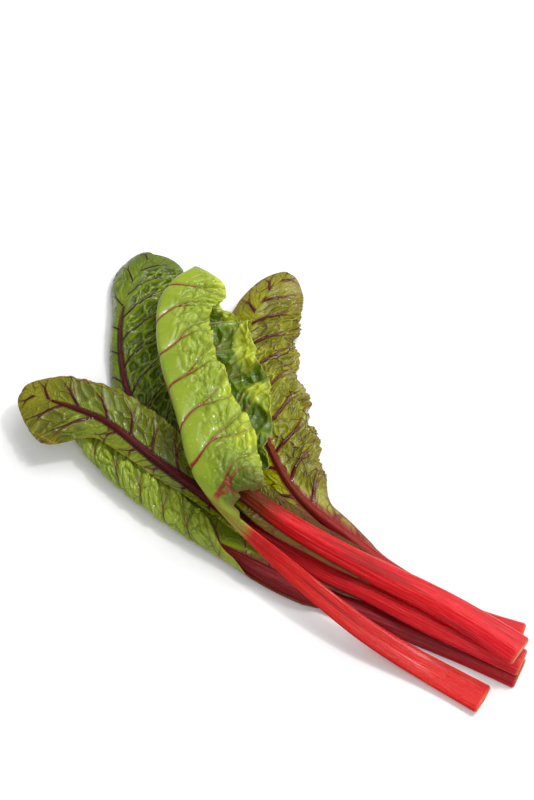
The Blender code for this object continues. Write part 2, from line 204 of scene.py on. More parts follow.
# Where the parts of a blade's look begin and are complete, from its base to its tip
BASE_PLACES = (0.06, 0.36)
LIP_PLACES = (0.1, 0.3)
GLOSS_PLACES = (0.12, 0.34)
THICK_VEIN_PLACES = (0.14, 0.32)
# Painted shade on the outer blade near its base
LOBE_SHADE_PLACES = (0.2, 0.36)
TIP_PLACES = (0.78, 1.0)

# The same from its rib to its margin
# Painted shade on the outer blade near its base
LOBE_SHADE_SHARES = (0.3, 0.6)
VEIN_FADE_SHARES = (0.35, 0.95)
LIP_SHARES = (0.7, 0.9)
PALE_UPPER_FROM = 0.7
PALE_UP_TO = 1.02

# Side veins as they are coloured: half widths and the darker strip beside them
VEIN_AT_RIB = 1.25
VEIN_NARROWING = 0.95
VEIN_THICKER_AT_BASE = 1.7
SLIMMEST_VEIN = 0.3
BESIDE_VEIN = 4.0

# Patterns and widths of a stalk's look
STREAKS = (9.0, 9.0, 4.0)
THIN_STREAKS = (26.0, 26.0, 6.0)
STALK_CLOUDS = 30.0
STALK_GRAINS = 600.0
PORES = 4.2
CUT_END_REACH = 120.0
CUT_RIM_WIDTH = 2.2

# Camera, floor and lights: each light's name, direction, distance, size and watts
CAMERA_TARGET = Vector((CENTRE_SHIFT[0] - 72, CENTRE_SHIFT[1] + 47, 0.0)) * MM
CAMERA_BACK = Vector((0.4287, -0.3115, 0.8480))
CAMERA_DISTANCE = 1.607
LENS = 85.0
FLOOR_HALF = 3.0
WORLD_BRIGHTNESS = 0.42
LIGHTS = (
    ("key", (-0.10, 0.75, 1.0), 1.6, 1.5, 20.5),
    ("fill", (0.8, -0.5, 1.2), 2.0, 1.5, 11.0),
    ("glint", (0.15, 0.5, 1.0), 1.5, 0.16, 6.0))


@dataclass
class LeafShape:
    """The numbers that make one leaf.

    route holds x, y, z and the turn about the route in degrees.
    stations holds the place along the blade from 0 to 1, then for the left and for the
    right half its width and its angles at the four places in bends, from rib to margin.
    """
    name: str
    route: tuple
    blade_starts_at: int
    stations: tuple
    petiole: tuple
    midrib: tuple
    midrib_from: float
    narrowing: float
    vein_spacing: float
    vein_phase: float
    upper: tuple
    under: tuple
    shade: tuple
    margin: tuple
    vein: tuple
    vein_width: float
    net: tuple
    net_strength: float
    cut_end: tuple
    petiole_colour: tuple
    midrib_colour: tuple
    base_colour: tuple
    streak: tuple
    reddens: tuple
    vein_slope: tuple = (1.0, -0.5)
    sweep: tuple = (-0.25, 0.45)
    bends: tuple = (0.0, 0.3, 0.65, 1.0)
    pillow: float = 2.0
    wave: tuple = (4.0, 42.0)
    wave_seed: float = 1.0
    tip_bluntness: float = 5.0
    midrib_ends_at: float = 0.93
    calm: float = -0.3
    blister: float = 2.2
    pucker: float = 0.9
    crinkle: float = 2.0
    pale_under: float = 0.7
    # Strength of the painted shade in the hollows of the relief
    hollow_shade: float = 0.55
    lip: float = 0.8
    # Strength of the painted shade on the outer blade near its base
    painted_lobe_shade: float = 0.0
    specks: float = 0.15
    tip_tint: float = 0.2
    base_band: tuple = (0.3, 0.35)
    base_reach: float = 3.5


# Upper side out and folded lengthwise: its left half is tucked under its right half
FRONT = LeafShape(
    name="front",
    route=(
        (249, 20, 5, 0), (211, 4, 6, -2), (158, -20, 16, -6), (88, -41, 30, -26),
        (33, -55, 41, -74), (-6, -61, 47, -105), (-41, -54, 50, -98), (-79, -39, 50, -88),
        (-126, -22, 50, -84), (-160, -3, 47, -84), (-181, 14, 44, -82),
        (-194, 36, 41, -78), (-199, 62, 38, -70)),
    blade_starts_at=4,
    stations=(
        (0.00, (7, 0, 0, 0, 0), (8, 0, -20, -40, -50)),
        (0.07, (10, 0, -30, -40, -50), (14, 20, -60, -80, -90)),
        (0.14, (16, -10, -55, -75, -85), (29, 42, -72, -92, -104)),
        (0.21, (42, -20, -88, -98, -108), (60, 42, -78, -99, -112)),
        (0.32, (70, -20, -88, -98, -115), (68, 45, -80, -95, -106)),
        (0.55, (92, -10, -88, -97, -122), (57, 50, -78, -88, -98)),
        (0.75, (86, -10, -88, -97, -120), (52, 50, -78, -88, -98)),
        (0.90, (64, -10, -80, -92, -110), (55, 35, -70, -85, -98)),
        (1.00, (44, 0, -60, -70, -80), (50, 20, -55, -70, -80))),
    petiole=(25, 9),
    midrib=(8, 6),
    midrib_from=0.36,
    narrowing=1.2,
    vein_spacing=38,
    vein_phase=0.1,
    vein_slope=(1.6, -1.1),
    sweep=(-1.0, 0.35),
    bends=(0.0, 0.15, 0.55, 1.0),
    wave=(4.5, 40),
    tip_bluntness=12.0,
    calm=0.25,
    blister=2.6,
    crinkle=2.8,
    hollow_shade=0.35,
    lip=0.4,
    # painted shade on the outer blade near its base
    painted_lobe_shade=0.9,
    specks=0.32,
    upper=(143, 161, 46),
    under=(74, 100, 30),
    pale_under=0.82,
    shade=(120, 146, 24),
    margin=(190, 200, 50),
    vein=(126, 34, 24),
    vein_width=1.25,
    net=(104, 124, 36),
    net_strength=0.3,
    cut_end=(206, 18, 14),
    petiole_colour=(188, 4, 8),
    midrib_colour=(150, 120, 44),
    base_colour=(138, 146, 44),
    streak=(222, 46, 26),
    base_band=(0.2, 0.34),
    base_reach=10.0,
    reddens=(-0.045, 0.0))

# Underside up, with its margins on the ground at the right of the bunch
RIGHT = LeafShape(
    name="right",
    route=(
        (225, 80, 1.2, 180), (182, 54, 1.2, 180), (144, 39, 2.5, 180), (109, 28, 5, 180),
        (78, 20, 8, 180), (47, 12, 11, 178), (17, 9, 13, 175), (-21, 15, 15, 172),
        (-59, 27, 17, 170), (-96, 45, 18, 170), (-127, 69, 19, 172), (-148, 99, 19, 175),
        (-158, 134, 16, 180)),
    blade_starts_at=3,
    stations=(
        (0.00, (8, 0, 0, 0, 0), (8, 0, 0, 0, 0)),
        (0.18, (14, 0, 0, 10, 10), (10, 0, 0, 0, 0)),
        (0.32, (37, 0, 10, 30, 50), (22, 5, 10, 20, 20)),
        (0.46, (53, 0, 15, 40, 75), (26, 5, 10, 20, 20)),
        (0.80, (46, -5, 15, 35, 65), (24, 5, 10, 20, 20)),
        (0.92, (38, -5, 10, 20, 30), (22, 5, 10, 20, 20)),
        (1.00, (28, 0, 0, 10, 20), (18, 5, 10, 20, 20))),
    petiole=(23, 10),
    midrib=(8, 6),
    midrib_from=0.3,
    narrowing=1.3,
    vein_spacing=27,
    vein_phase=0.3,
    wave_seed=2.0,
    midrib_ends_at=0.66,
    blister=3.2,
    pucker=1.2,
    upper=(124, 138, 30),
    under=(164, 167, 14),
    shade=(122, 124, 14),
    margin=(138, 122, 12),
    vein=(76, 4, 0),
    vein_width=1.8,
    net=(58, 18, 0),
    net_strength=1.0,
    cut_end=(218, 20, 34),
    petiole_colour=(190, 8, 22),
    midrib_colour=(112, 40, 20),
    streak=(164, 50, 40),
    base_colour=(134, 22, 20),
    base_band=(0.15, 0.3),
    base_reach=9.0,
    tip_tint=0.6,
    reddens=(-0.05, 0.12))

# Underside up, reaching out to the far left of the bunch
LEFT = LeafShape(
    name="left",
    route=(
        (246, 60, 15, 180), (200, 36, 15, 180), (163, 18, 14, 180), (126, 2, 12, 180),
        (89, -16, 10, 180), (59, -26, 10, 180), (19, -42, 13, 180), (-25, -57, 21, 178),
        (-71, -72, 27, 175), (-119, -85, 31, 175), (-150, -103, 32, 175),
        (-185, -124, 28, 178)),
    blade_starts_at=3,
    stations=(
        (0.00, (10, 0, 0, 0, 0), (11, 0, 0, 0, 0)),
        (0.45, (9, 0, 0, 0, 0), (10, 0, 0, 0, 0)),
        (0.61, (32, -12, -12, 0, 12), (12, 10, 15, 10, 0)),
        (0.74, (31, -12, -8, 5, 16), (16, 0, 8, 12, 10)),
        (0.86, (31, -12, -8, 5, 16), (42, 0, 5, 10, 20)),
        (1.00, (24, -5, 0, 10, 10), (28, 0, 10, 20, 20))),
    petiole=(24, 9),
    midrib=(12, 8),
    midrib_from=0.4,
    narrowing=0.9,
    vein_spacing=26,
    vein_phase=0.0,
    wave_seed=3.0,
    blister=3.8,
    pucker=1.4,
    upper=(118, 136, 30),
    under=(126, 144, 20),
    shade=(82, 98, 12),
    margin=(150, 132, 16),
    tip_tint=0.6,
    vein=(64, 8, 2),
    vein_width=1.6,
    net=(66, 30, 6),
    net_strength=0.8,
    cut_end=(198, 18, 30),
    petiole_colour=(196, 10, 24),
    midrib_colour=(56, 4, 10),
    base_colour=(70, 6, 14),
    streak=(220, 60, 62),
    reddens=(0.14, 0.5))

# Underside up, behind the others, with the widest stalk
BACK = LeafShape(
    name="back",
    route=(
        (241, 61, 25, 180), (180, 40, 25, 180), (121, 14, 24, 180), (75, -5, 22, 180),
        (28, -20, 20, 180), (-24, -33, 16, 180), (-74, -49, 10, 180), (-115, -54, 8, 178),
        (-144, -47, 11, 176), (-174, -33, 15, 174), (-204, -12, 18, 172),
        (-228, 15, 18, 176), (-247, 50, 14, 180)),
    blade_starts_at=2,
    stations=(
        (0.00, (13, -10, -10, -10, -10), (12, -10, -10, -10, -10)),
        (0.12, (14, -10, -10, -10, -10), (15, -10, -15, -25, -40)),
        (0.22, (16, -10, -10, -10, -10), (20, -10, -20, -35, -60)),
        (0.36, (19, -5, -5, 0, 0), (9, -5, 0, 0, 0)),
        (0.58, (44, -10, 0, 5, 0), (20, 10, 30, 60, 80)),
        (0.80, (54, -15, -5, 5, 10), (20, 10, 40, 80, 110)),
        (0.92, (48, -15, -5, 5, 20), (28, 0, 10, 30, 50)),
        (1.00, (44, -5, 0, 5, 10), (24, 0, 5, 20, 40))),
    petiole=(27, 11),
    midrib=(9, 7),
    midrib_from=0.5,
    narrowing=0.65,
    vein_spacing=26,
    vein_phase=0.6,
    wave_seed=4.0,
    tip_bluntness=8.0,
    midrib_ends_at=0.86,
    upper=(96, 116, 30),
    under=(142, 164, 30),
    shade=(82, 104, 18),
    margin=(82, 96, 18),
    vein=(50, 24, 8),
    vein_width=0.9,
    blister=4.0,
    crinkle=3.2,
    hollow_shade=0.75,
    net=(46, 58, 10),
    net_strength=0.5,
    tip_tint=0.55,
    cut_end=(212, 18, 32),
    petiole_colour=(200, 6, 18),
    midrib_colour=(40, 2, 6),
    streak=(224, 60, 66),
    base_colour=(82, 46, 6),
    base_band=(0.36, 0.5),
    base_reach=60.0,
    reddens=(0.18, 0.27))

# Lowest at the left: its right half is rolled over with the upper side out
LOW = LeafShape(
    name="low",
    route=(
        (248, 58, 1, 180), (209, 37, 1, 180), (178, 19, 1, 180), (146, -1, 3, 180),
        (106, -28, 4, 180), (73, -48, 5, 180), (34, -65, 5, 185), (-6, -81, 5, 190),
        (-42, -91, 5, 190), (-78, -100, 6, 190), (-109, -105, 7, 190),
        (-138, -107, 8, 188)),
    blade_starts_at=4,
    stations=(
        (0.00, (14, 0, 0, 0, 0), (8, 0, 0, 0, 0)),
        (0.17, (22, 0, 0, 0, 0), (9, 0, -20, -30, -30)),
        (0.31, (28, 5, 5, 0, 0), (18, 0, -60, -110, -140)),
        (0.48, (30, 10, 5, 0, 0), (38, 0, -80, -165, -185)),
        (0.65, (28, 10, 5, 0, 0), (47, 0, -80, -168, -188)),
        (0.85, (26, 10, 5, 0, 0), (44, 0, -80, -168, -188)),
        (1.00, (20, 5, 0, 0, 0), (26, -10, -60, -110, -150))),
    petiole=(27, 9),
    midrib=(9, 5),
    midrib_from=0.4,
    narrowing=0.6,
    vein_spacing=26,
    vein_phase=0.4,
    wave=(2.5, 42),
    wave_seed=5.0,
    bends=(0.0, 0.15, 0.55, 1.0),
    hollow_shade=0.35,
    upper=(143, 160, 42),
    under=(132, 150, 34),
    shade=(114, 136, 24),
    margin=(162, 174, 36),
    vein=(122, 54, 46),
    vein_width=0.8,
    net=(80, 96, 42),
    net_strength=0.45,
    cut_end=(186, 16, 28),
    petiole_colour=(122, 12, 24),
    midrib_colour=(96, 14, 26),
    streak=(160, 36, 46),
    base_colour=(98, 18, 18),
    base_reach=22.0,
    reddens=(0.0, 0.3))

LEAVES = (FRONT, RIGHT, LEFT, BACK, LOW)


def natural_spline(knots, values, places):
    """A smooth curve through the values, read at the places."""
    count = len(knots)
    gaps = np.diff(knots)
    matrix = np.eye(count)
    right_side = np.zeros(values.shape)
    for i in range(1, count - 1):
        matrix[i, i - 1:i + 2] = gaps[i - 1], 2 * (gaps[i - 1] + gaps[i]), gaps[i]
        rise_after = (values[i + 1] - values[i]) / gaps[i]
        rise_before = (values[i] - values[i - 1]) / gaps[i - 1]
        right_side[i] = 6 * (rise_after - rise_before)
    second = np.linalg.solve(matrix, right_side)
    k = np.clip(np.searchsorted(knots, places) - 1, 0, count - 2)
    gap = gaps[k][:, None]
    before = (knots[k + 1] - places)[:, None] / gap
    after = (places - knots[k])[:, None] / gap
    straight = before * values[k] + after * values[k + 1]
    bend = (before ** 3 - before) * second[k] + (after ** 3 - after) * second[k + 1]
    return straight + bend * gap ** 2 / 6


def smooth_step(x):
    x = np.clip(x, 0, 1)
    return x * x * (3 - 2 * x)


def smooth_rise(x):
    """A rise that starts steeply and ends level, from 0 to 1."""
    x = 1 - np.clip(x, 0, 1)
    return 1 - x * x


def eased(knots, values, places):
    """Values that pass from knot to knot with a smooth start and end."""
    k = np.clip(np.searchsorted(knots, places) - 1, 0, len(knots) - 2)
    x = smooth_step((places - knots[k]) / (knots[k + 1] - knots[k]))
    return values[k] + (values[k + 1] - values[k]) * x


def running_length(points):
    """The distance from the first point to each point, along the line through them."""
    steps = np.linalg.norm(np.diff(points, axis=0), axis=1)
    return np.concatenate([[0.0], np.cumsum(steps)])


def unit(vectors):
    return vectors / np.linalg.norm(vectors, axis=-1)[..., None]


def texture_values(points, node_type, output, **settings):
    """What one of Blender's texture nodes gives at the points, as numbers."""
    mesh = bpy.data.meshes.new("probe")
    mesh.vertices.add(len(points))
    mesh.vertices.foreach_set("co", np.ascontiguousarray(points, np.float32).ravel())
    probe = bpy.data.objects.new("probe", mesh)
    bpy.context.scene.collection.objects.link(probe)
    tree = bpy.data.node_groups.new("probe", "GeometryNodeTree")
    for way in ("INPUT", "OUTPUT"):
        tree.interface.new_socket("Geometry", in_out=way, socket_type="NodeSocketGeometry")
    entry = tree.nodes.new("NodeGroupInput")
    leave = tree.nodes.new("NodeGroupOutput")
    place = tree.nodes.new("GeometryNodeInputPosition")
    store = tree.nodes.new("GeometryNodeStoreNamedAttribute")
    store.data_type = "FLOAT"
    store.inputs["Name"].default_value = "value"
    texture = tree.nodes.new(node_type)
    for key, value in settings.items():
        if key in texture.inputs:
            texture.inputs[key].default_value = value
        else:
            setattr(texture, key, value)
    tree.links.new(place.outputs[0], texture.inputs["Vector"])
    tree.links.new(entry.outputs[0], store.inputs["Geometry"])
    tree.links.new(texture.outputs[output], store.inputs["Value"])
    tree.links.new(store.outputs[0], leave.inputs[0])
    probe.modifiers.new("probe", "NODES").node_group = tree
    depsgraph = bpy.context.evaluated_depsgraph_get()
    found = probe.evaluated_get(depsgraph).data.attributes["value"]
    values = np.empty(len(points), np.float32)
    found.data.foreach_get("value", values)
    bpy.data.objects.remove(probe)
    bpy.data.node_groups.remove(tree)
    bpy.data.meshes.remove(mesh)
    return values.astype(float)


def joined(*parts):
    """Points from an array or a number for each axis."""
    return np.stack(np.broadcast_arrays(*parts), -1)


def cell_edge_distance(points):
    """Distance from the points to the nearest border between cells, in cells."""
    return texture_values(points, "ShaderNodeTexVoronoi", "Distance",
                          voronoi_dimensions="2D", feature="DISTANCE_TO_EDGE", Scale=1.0)


def soft_noise(points):
    """Smooth noise about zero, from about -0.5 to 0.5."""
    return texture_values(points, "ShaderNodeTexNoise", 0, Scale=1.0, Detail=1.0) - 0.5


class Leaf:
    """One leaf's route and the surface of its blade.

    A place on the leaf is (along, across): the distance along the route from the cut
    end, and the distance over the blade from the route, negative on the left half.
    """

    def __init__(self, shape):
        self.shape = shape
        points = np.array(shape.route, float)
        knots = running_length(points[:, :3])
        spread = np.linspace(0, knots[-1], ROUTE_SAMPLES)
        curve = natural_spline(knots, points, spread)
        distance = running_length(curve[:, :3])
        self.length = distance[-1]
        self.samples = np.linspace(0, self.length, ROUTE_SAMPLES)
        self.blade_start = np.interp(knots[shape.blade_starts_at], spread, distance)
        self.span = self.length - self.blade_start
        even = [np.interp(self.samples, distance, curve[:, i]) for i in range(4)]
        self.points = np.stack(even[:3], 1)
        self.set_directions(np.radians(even[3])[:, None])
        self.station_places = np.array([s[0] for s in shape.stations])
        self.left = np.array([s[1] for s in shape.stations], float)
        self.right = np.array([s[2] for s in shape.stations], float)
        self.bends = np.array(shape.bends)

    def set_directions(self, turn):
        """Forward along the route, sideways to the right half, and out of the upper side."""
        self.forward = unit(np.gradient(self.points, self.samples, axis=0))
        up = np.array([0.0, 0.0, 1.0])
        level_out = unit(up - (self.forward @ up)[:, None] * self.forward)
        level_side = np.cross(self.forward, level_out)
        self.out = level_out * np.cos(turn) + level_side * np.sin(turn)
        self.side = level_side * np.cos(turn) - level_out * np.sin(turn)

    def at(self, along):
        """Point, forward, side and out directions at distances along the route."""
        fields = (self.points, self.forward, self.side, self.out)
        return [
            np.stack([np.interp(along, self.samples, field[:, i]) for i in range(3)], -1)
            for field in fields]

    def blade_place(self, along):
        return (along - self.blade_start) / self.span

    def half_width(self, place, half):
        """Half width of the blade, with its rounded tip."""
        place = np.clip(place, 0, 1)
        rounding = np.sqrt(np.clip(1 - place ** (2 * self.shape.tip_bluntness), 0, 1))
        return eased(self.station_places, half[:, 0], place) * rounding

    def stalk_size(self, along):
        """Width and height of the stalk, from the cut end to the midrib's tip."""
        place = np.clip(self.blade_place(along), 0, 1)
        midrib_from = self.blade_start + self.shape.midrib_from * self.span
        petiole_share = np.clip(1 - along / midrib_from, 0, 1)
        width, height = self.shape.midrib
        width = width + (self.shape.petiole[0] - width) * petiole_share ** self.shape.narrowing
        height = height + (self.shape.petiole[1] - height) * petiole_share
        taper = np.clip((1 - place / self.shape.midrib_ends_at) / MIDRIB_TAPER, 0, 1)
        taper = taper ** MIDRIB_TAPER_POWER
        return (STALK_TIP_WIDTH + (width - STALK_TIP_WIDTH) * taper,
                STALK_TIP_HEIGHT + (height - STALK_TIP_HEIGHT) * taper)

    def slot_edge(self, along):
        return self.stalk_size(along)[0] / 2 + SLOT_GAP

    def vein_place(self, along, across):
        """Whole numbers on the side veins, which slant forward from the midrib."""
        shape = self.shape
        reach = np.abs(across)
        slope = shape.vein_slope[0] + shape.vein_slope[1] * np.clip(self.blade_place(along), 0, 1)
        vein = along - self.blade_start - slope * reach + VEIN_BEND * reach ** 2
        vein = vein / shape.vein_spacing + shape.vein_phase + 0.5 * (across > 0)
        wobble = along / VEIN_WOBBLE_ALONG + reach / VEIN_WOBBLE_ACROSS + shape.wave_seed
        return vein + VEIN_WOBBLE * np.sin(wobble)

    def plain_relief(self, along, across, share, from_slot, vein):
        """The pillows between the side veins and the waved margin of the plain solid."""
        shape = self.shape
        pillow = np.abs(np.sin(np.pi * vein)) ** PILLOW_ROUNDNESS - PILLOW_MIDDLE
        inside = 1 - PILLOW_LOSS_AT_MARGIN * np.clip(share, 0, 1) ** PILLOW_LOSS_POWER
        inside = inside * np.clip(from_slot / RELIEF_BESIDE_RIB, 0, 1)
        height, length = shape.wave
        wander = WAVE_WANDER * np.sin(along / WAVE_WANDER_LENGTH + shape.wave_seed)
        phase = 2 * np.pi * ((along + WAVE_LEAN * np.abs(across)) / length + shape.vein_phase)
        phase = phase + WAVE_HALF_SHIFT * (across > 0) + wander
        wave = height * np.clip(share, 0, WAVE_LAST_SHARE) ** WAVE_GROWTH_POWER * np.sin(phase)
        return shape.pillow * pillow * inside + wave

    def fine_relief(self, along, across, share, from_slot, vein):
        """Sunken side veins, blisters between them, wrinkles and a ruffled margin."""
        shape = self.shape
        side = vein_distance(vein, share, shape.vein_spacing)
        groove = np.exp(-(side / VEIN_HALF_WIDTH) ** 2)
        groove = groove * (1 - VEIN_LOSS_AT_MARGIN * np.clip(share, 0, 1))
        net = net_place(along, across, vein, shape)
        blister = np.sin(cell_domes(net, BLISTER_SIZE) * math.pi / 2)
        pucker = cell_domes(net, PUCKER_SIZE)
        wrinkle = cell_domes(net, WRINKLE_SIZE)
        clear = smooth_step(side / BLISTER_CLEAR_OF_VEIN)
        by_vein = BLISTER_AT_VEIN + (1 - BLISTER_AT_VEIN) * clear
        crinkle = soft_noise(joined(along / CRINKLE_SIZE, across / CRINKLE_SIZE, shape.wave_seed))
        height = shape.blister * (blister * by_vein - BLISTER_MIDDLE)
        height = height + shape.pucker * (pucker * by_vein - PUCKER_MIDDLE)
        height = height + WRINKLE_HEIGHT * (wrinkle - WRINKLE_MIDDLE)
        height = height + shape.crinkle * 2 * crinkle * by_vein
        height = height * smooth_step((share - shape.calm) / CALM_FADE) - VEIN_DEPTH * groove
        reach = np.abs(across)
        ruffle = soft_noise(joined(along / RUFFLE_LENGTH, reach / RUFFLE_WIDTH, shape.wave_seed))
        edge = smooth_step((share - RUFFLE_FROM) / (1 - RUFFLE_FROM))
        return height * smooth_step(from_slot / RIB_FILLET) + RUFFLE_HEIGHT * edge * ruffle

    def surface(self, along, across):
        """Points in the middle of the blade's thickness, and what the material needs."""
        form = along.shape
        along = along.ravel()
        across = across.ravel()
        place = np.clip(self.blade_place(along), 0, 1)
        is_left = across < 0
        width = np.where(is_left, self.half_width(place, self.left),
                         self.half_width(place, self.right))
        corner_angles = np.radians([
            np.where(is_left, eased(self.station_places, self.left[:, i], place),
                     eased(self.station_places, self.right[:, i], place))
            for i in range(1, 5)])
        rows = np.arange(len(along))

        def angle_at(share):
            share = np.clip(share, 0, 1)
            k = np.clip(np.searchsorted(self.bends, share, side="right") - 1, 0, 2)
            x = (share - self.bends[k]) / (self.bends[k + 1] - self.bends[k])
            return corner_angles[k, rows] * (1 - x) + corner_angles[k + 1, rows] * x

        edge = self.slot_edge(along)
        from_slot = np.maximum(np.abs(across) - edge, 0)
        share = from_slot / np.maximum(width - edge, SLIMMEST_WING)
        outward = np.zeros_like(share)
        upward = np.zeros_like(share)
        for step in range(ANGLE_STEPS):
            angle = angle_at(share * (step + 0.5) / ANGLE_STEPS)
            outward += np.cos(angle)
            upward += np.sin(angle)
        outward = outward * from_slot / ANGLE_STEPS + np.minimum(np.abs(across), edge)
        upward = upward * from_slot / ANGLE_STEPS
        hand = np.where(is_left, -1.0, 1.0)
        point, forward, side, out = self.at(along)
        start, end = self.shape.sweep
        sweep = start + (end - start) * place
        point = point + side * (outward * hand)[:, None] + out * upward[:, None]
        point = point + forward * (sweep * from_slot)[:, None]
        angle = angle_at(share)
        normal = out * np.cos(angle)[:, None] - side * (np.sin(angle) * hand)[:, None]
        vein = self.vein_place(along, across)
        grown = np.clip((width - RELIEF_STARTS_AT) / RELIEF_FULL_OVER, 0, 1)
        coarse = grown * np.clip((1 - place) / RELIEF_TIP_FADE, RELIEF_AT_TIP, 1)
        fine = smooth_step((width - FINE_STARTS_AT) / FINE_FULL_OVER)
        fine = fine * np.clip((1 - place) / FINE_TIP_FADE, FINE_AT_TIP, 1)
        height = self.plain_relief(along, across, share, from_slot, vein) * coarse
        detail = self.fine_relief(along, across, share, from_slot, vein) * fine
        point = lifted_off_floor(point + normal * (height + detail)[:, None])
        facts = {
            "vein": vein, "share": share, "place": place, "from_rib": from_slot,
            "net": net_place(along, across, vein, self.shape), "detail": detail}
        for key, value in facts.items():
            facts[key] = value.reshape(form + value.shape[1:])
        return point.reshape(form + (3,)), facts


def vein_distance(vein, share, spacing):
    """Distance to the nearest side vein, where each vein forks on its way to the margin."""
    offset = np.abs((vein + 0.5) % 1 - 0.5)
    fork = np.clip((share - FORK_STARTS_AT) * FORK_SPREAD, 0, WIDEST_FORK)
    return np.abs(offset - fork) * spacing * VEIN_SQUEEZE


def net_place(along, across, vein, shape):
    """Where a point lies in the net of small veins, in cells."""
    seed = shape.wave_seed * NET_SEED_STEP
    bent = joined(along / NET_BEND_LENGTH, across / NET_BEND_LENGTH, seed)
    first = vein * BLISTER_ROWS + seed + NET_BEND * soft_noise(bent)
    second = np.abs(across) / BLISTER_SIZE + seed + NET_BEND * soft_noise(bent + NET_BEND_SHIFT)
    return joined(first, second, 0.0)


def cell_domes(net, size):
    """Domes of the size given, from 0 at their borders to 1 at their middles."""
    return smooth_rise(cell_edge_distance(net * (BLISTER_SIZE / size)) / CELL_HALF)


def lifted_off_floor(point):
    """Points near the ground or under it are eased up, so that the blade lies on it."""
    height = point[:, 2]
    depth = np.minimum((height - FLOOR_LEVEL) / FLOOR_SOFTNESS - 1, 0)
    eased_height = FLOOR_LEVEL + FLOOR_SOFTNESS * np.exp(depth)
    point[:, 2] = np.where(height < FLOOR_LEVEL + FLOOR_SOFTNESS, eased_height, height)
    return point


def blade_grid(leaf):
    """Places over the whole blade: rows from its base to its tip, each from left to right."""
    widest = [half[:, 0].max() for half in (leaf.left, leaf.right)]
    step = max(math.sqrt(leaf.span * sum(widest) / SHEET_CELLS), FINEST_CELL)
    row_count = int(leaf.span / step)
    t = np.linspace(0, 1, row_count + 1)
    tip_share = 1 - TIP_ROWS_FROM
    toward_tip = np.sin((t - TIP_ROWS_FROM) / tip_share * math.pi / 2 * TIP_ROWS_REACH)
    place = np.where(t < TIP_ROWS_FROM, t, TIP_ROWS_FROM + tip_share * toward_tip)
    along = leaf.blade_start + place * leaf.span
    edge = leaf.slot_edge(along)
    to_tip = np.clip((1 - place) / (1 - leaf.shape.midrib_ends_at), 0, 1) ** 0.5
    sides = []
    for half, hand, width in ((leaf.left, -1, widest[0]), (leaf.right, 1, widest[1])):
        seed = hand * NICK_SEED_STEP + leaf.shape.wave_seed
        nicks = NICK_DEPTH * soft_noise(joined(along / NICK_LENGTH, seed, 0.0))
        outer = leaf.half_width(place, half)
        outer = outer + np.clip((outer - NICKS_START_AT) / NICKS_FULL_OVER, 0, 1) * nicks
        wing = SLIMMEST_WING * np.clip(place / WING_TAPER, WING_AT_START, 1)
        outer = np.maximum(outer - (SLIMMEST_WING - wing), (edge + wing) * to_tip)
        columns = int(width / step)
        sides.append(hand * outer[:, None] * np.arange(columns + 1) / columns)
    across = np.concatenate([sides[0][:, :0:-1], sides[1]], axis=1)
    return np.broadcast_to(along[:, None], across.shape).copy(), across


def blade_mesh(leaf):
    """Corner points, quads and facts of a blade: its grid given thickness."""
    along, across = blade_grid(leaf)
    middle, facts = leaf.surface(along, across)
    normal = unit(np.cross(np.gradient(middle, axis=1), np.gradient(middle, axis=0)))
    side = vein_distance(facts["vein"], facts["share"], leaf.shape.vein_spacing)
    swelling = VEIN_SWELLING * np.exp(-(side / VEIN_SWELLING_WIDTH) ** 2)
    swelling = swelling * np.clip(1 - facts["share"], 0, 1)
    upper = middle + normal * SHEET_THICKNESS / 2
    lower = middle - normal * (SHEET_THICKNESS / 2 + swelling[..., None])
    points = np.concatenate([upper.reshape(-1, 3), lower.reshape(-1, 3)])
    points[:, 2] = np.maximum(points[:, 2], SHEET_CLEARANCE)
    row_count, column_count = middle.shape[:2]
    number = np.arange(row_count * column_count).reshape(row_count, column_count)
    to_lower = row_count * column_count
    a, b = number[:-1, :-1].ravel(), number[:-1, 1:].ravel()
    c, d = number[1:, 1:].ravel(), number[1:, :-1].ravel()
    border = np.concatenate([number[0], number[1:, -1], number[-1, -2::-1], number[-2:0:-1, 0]])
    following = np.roll(border, -1)
    faces = np.concatenate([
        np.stack([a, b, c, d], -1),
        np.stack([d, c, b, a], -1) + to_lower,
        np.stack([border, border + to_lower, following + to_lower, following], -1)])
    is_upper = np.concatenate([np.ones(to_lower), np.zeros(to_lower)])
    both = {key: np.concatenate([value.reshape(to_lower, -1)] * 2) for key, value in facts.items()}
    both["upper"] = is_upper[:, None]
    return points, faces, both


